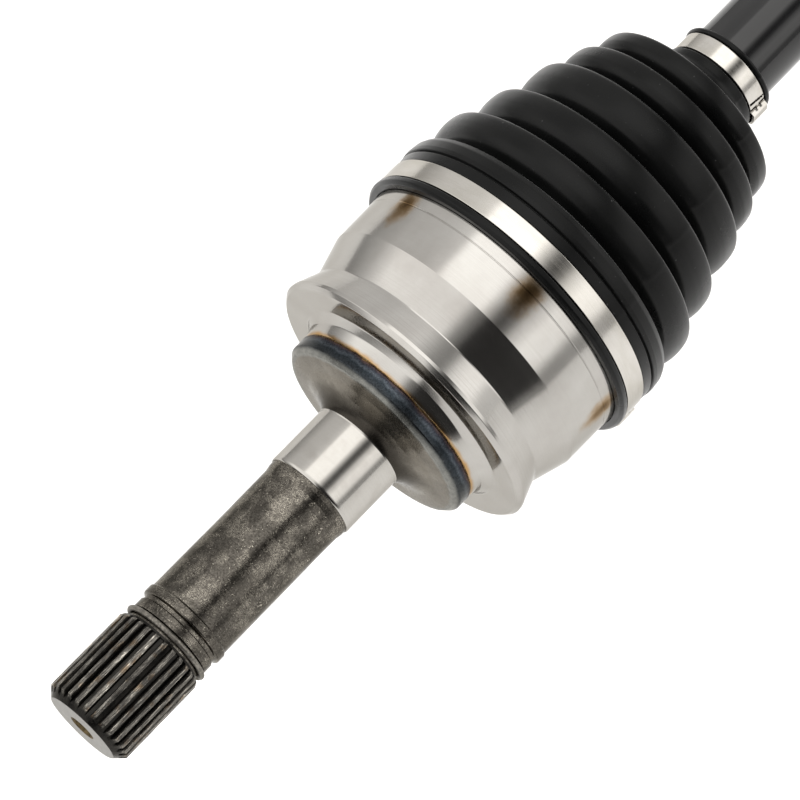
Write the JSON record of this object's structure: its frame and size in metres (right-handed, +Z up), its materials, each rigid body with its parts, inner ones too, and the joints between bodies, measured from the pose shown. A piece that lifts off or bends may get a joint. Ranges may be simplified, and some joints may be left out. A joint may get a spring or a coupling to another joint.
{
  "type": "cv axle",
  "caption": "Half shaft with a plunging ball joint and splined stub at one end, a fixed ball joint with threaded stub at the other, and ribbed rubber boots.",
  "frame": {"origin": "middle of the bar, on the axle's axis, half way between the two joint centres", "axes": "+X along the bar towards the wheel end, +Z up, joints straight"},
  "size_m": [0.652, 0.101, 0.101],
  "materials": {
    "bar_paint": "gloss black",
    "stub_steel": "dark phosphated forging with a ground journal",
    "cup_steel": "satin turned",
    "housing_steel": "satin turned",
    "race_steel": "ground",
    "ball_steel": "polished",
    "spring_steel": "phosphated",
    "clamp_steel": "bright stainless",
    "boot_rubber": "matte"
  },
  "bodies": {
    "shaft": {"shaft_bar": "bar_paint", "inner_race": "race_steel", "inner_race_snap_ring": "spring_steel", "inner_race_stop_ring": "spring_steel", "inner_boot_small_clamp": "clamp_steel", "outer_race": "race_steel", "outer_race_circlip": "spring_steel", "outer_boot_small_clamp": "clamp_steel"},
    "inner_leading_ball": {"inner_ball_1": "ball_steel"},
    "inner_cage": {"inner_cage": "race_steel", "inner_ball_2": "ball_steel", "inner_ball_3": "ball_steel", "inner_ball_5": "ball_steel", "inner_ball_6": "ball_steel"},
    "inner_trailing_ball": {"inner_ball_4": "ball_steel"},
    "inner_boot": {"inner_boot": "boot_rubber"},
    "inner_housing": {"inner_joint_cup": "cup_steel", "inner_stub_shaft": "stub_steel", "stub_retaining_ring": "spring_steel", "inner_mouth_ring": "spring_steel", "inner_boot_large_clamp": "clamp_steel"},
    "outer_leading_ball": {"outer_ball_2": "ball_steel"},
    "outer_cage": {"outer_cage": "race_steel", "outer_ball_1": "ball_steel", "outer_ball_3": "ball_steel", "outer_ball_4": "ball_steel", "outer_ball_6": "ball_steel"},
    "outer_trailing_ball": {"outer_ball_5": "ball_steel"},
    "outer_housing": {"outer_joint_housing": "housing_steel", "outer_boot_large_clamp": "clamp_steel", "outer_boot": "boot_rubber"}
  },
  "joints": [
    {"name": "inner_swing", "type": "hinge", "parent": "shaft", "child": "inner_leading_ball", "pos_m": [-0.177, 0, 0], "axis": [0, 0, 1], "range_deg": [-5, 5], "deforming": ["inner_boot"]},
    {"name": "inner_tilt", "type": "hinge", "parent": "inner_leading_ball", "child": "inner_cage", "pos_m": [-0.177, 0, 0], "axis": [0, 1, 0], "range_deg": [-8, 8]},
    {"name": "inner_tilt_second_half", "type": "hinge", "parent": "inner_cage", "child": "inner_trailing_ball", "pos_m": [-0.177, 0, 0], "axis": [0, 1, 0], "range_deg": [-8, 8]},
    {"name": "inner_swing_second_half", "type": "hinge", "parent": "inner_trailing_ball", "child": "inner_boot", "pos_m": [-0.177, 0, 0], "axis": [0, 0, 1], "range_deg": [-5, 5]},
    {"name": "inner_plunge", "type": "slide", "parent": "inner_boot", "child": "inner_housing", "axis": [1, 0, 0], "range_m": [-0.008, 0.008]},
    {"name": "outer_tilt", "type": "hinge", "parent": "shaft", "child": "outer_leading_ball", "pos_m": [0.177, 0, 0], "axis": [0, 1, 0], "range_deg": [-8, 8], "deforming": ["outer_boot"]},
    {"name": "outer_swing", "type": "hinge", "parent": "outer_leading_ball", "child": "outer_cage", "pos_m": [0.177, 0, 0], "axis": [0, 0, 1], "range_deg": [-18, 18]},
    {"name": "outer_swing_second_half", "type": "hinge", "parent": "outer_cage", "child": "outer_trailing_ball", "pos_m": [0.177, 0, 0], "axis": [0, 0, 1], "range_deg": [-18, 18]},
    {"name": "outer_tilt_second_half", "type": "hinge", "parent": "outer_trailing_ball", "child": "outer_housing", "pos_m": [0.177, 0, 0], "axis": [0, 1, 0], "range_deg": [-8, 8]}
  ],
  "couplings": [
    {"joint": "inner_swing_second_half", "follows": "inner_swing", "ratio": 1},
    {"joint": "inner_tilt_second_half", "follows": "inner_tilt", "ratio": 1},
    {"joint": "outer_swing_second_half", "follows": "outer_swing", "ratio": 1},
    {"joint": "outer_tilt_second_half", "follows": "outer_tilt", "ratio": 1}
  ]
}
